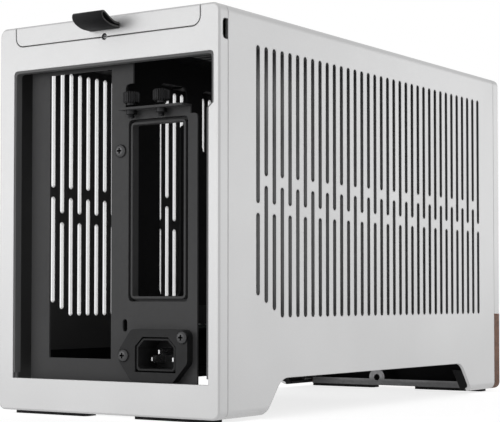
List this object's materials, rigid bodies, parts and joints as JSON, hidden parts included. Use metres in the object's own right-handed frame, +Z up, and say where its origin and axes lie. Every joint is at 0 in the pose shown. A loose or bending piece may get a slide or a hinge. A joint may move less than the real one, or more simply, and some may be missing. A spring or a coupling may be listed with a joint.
{
  "type": "mini-itx computer case",
  "caption": "Upright sandwich-layout computer case: slotted aluminium panels fold down, the lid lifts off by a strap, and an inner spine slides sideways.",
  "frame": {"origin": "on the floor, under the middle of the whole length from the front face to the strap's end", "axes": "+Z up, front faces -Y, rear ports face +Y"},
  "size_m": [0.153, 0.358, 0.218],
  "materials": {
    "anodised_aluminium": "fine bead-blasted, clear anodised",
    "walnut": "oiled walnut",
    "strap_leather": "matt black",
    "foot_rubber": "matt black",
    "powder_steel": "satin black powder coat",
    "black_screw": "black zinc",
    "bright_steel": "plain bright",
    "standoff_brass": "turned",
    "moulded_black": "fine moulded texture",
    "circuit_board": "black solder mask"
  },
  "bodies": {
    "chassis": {"rear_frame": "anodised_aluminium", "front_panel": "anodised_aluminium", "wood_front_strip": "walnut", "foot_rear_left": "foot_rubber", "foot_rear_right": "foot_rubber", "foot_front_left": "foot_rubber", "foot_front_right": "foot_rubber", "rear_chassis": "powder_steel", "front_chassis": "powder_steel", "top_rail_left": "powder_steel", "top_rail_right": "powder_steel", "cross_bar_rear": "powder_steel", "cross_bar_front": "powder_steel", "bottom_tray": "powder_steel", "tray_bracket": "powder_steel", "psu_bracket": "powder_steel", "front_io_bracket": "powder_steel", "top_lock_screw": "black_screw", "hinge_pins": "bright_steel", "usb_c_shell": "bright_steel", "usb_a_shell_left": "bright_steel", "usb_a_shell_right": "bright_steel", "snap_sockets": "moulded_black", "power_switch": "moulded_black", "usb_c_tongue": "moulded_black", "usb_a_tongue_left": "moulded_black", "usb_a_tongue_right": "moulded_black", "front_io_board": "circuit_board"},
    "lid": {"top_panel": "anodised_aluminium", "pull_tab": "strap_leather", "tab_bar": "bright_steel", "top_snap_studs": "bright_steel"},
    "left_panel": {"left_side_panel": "anodised_aluminium", "left_hinge_lugs": "powder_steel", "left_snap_studs": "bright_steel"},
    "right_panel": {"right_side_panel": "anodised_aluminium", "right_hinge_lugs": "powder_steel", "right_snap_studs": "bright_steel"},
    "spine": {"spine_plate": "powder_steel", "spine_lock_screws": "black_screw", "rear_io_plate": "powder_steel", "io_plate_screws": "black_screw", "thumbscrew_inner": "black_screw", "thumbscrew_outer": "black_screw", "motherboard_standoffs": "standoff_brass", "riser_bracket": "powder_steel", "riser_board": "circuit_board", "riser_socket": "moulded_black", "power_inlet": "moulded_black", "inlet_screws": "black_screw", "inlet_pins": "bright_steel"},
    "button": {"power_button": "bright_steel"}
  },
  "joints": [
    {"name": "lid_lift", "type": "slide", "parent": "chassis", "child": "lid", "axis": [0, 0, 1], "range_m": [0, 0.05]},
    {"name": "left_panel_hinge", "type": "hinge", "parent": "chassis", "child": "left_panel", "pos_m": [-0.072, 0, 0.0065], "axis": [0, -1, 0], "range_deg": [0, 90]},
    {"name": "right_panel_hinge", "type": "hinge", "parent": "chassis", "child": "right_panel", "pos_m": [0.072, 0, 0.0065], "axis": [0, 1, 0], "range_deg": [0, 90]},
    {"name": "spine_shift", "type": "slide", "parent": "chassis", "child": "spine", "axis": [1, 0, 0], "range_m": [-0.012, 0.012]},
    {"name": "button_press", "type": "slide", "parent": "chassis", "child": "button", "axis": [0, 1, 0], "range_m": [0, 0.0011], "stiffness_N_per_m": 500}
  ]
}
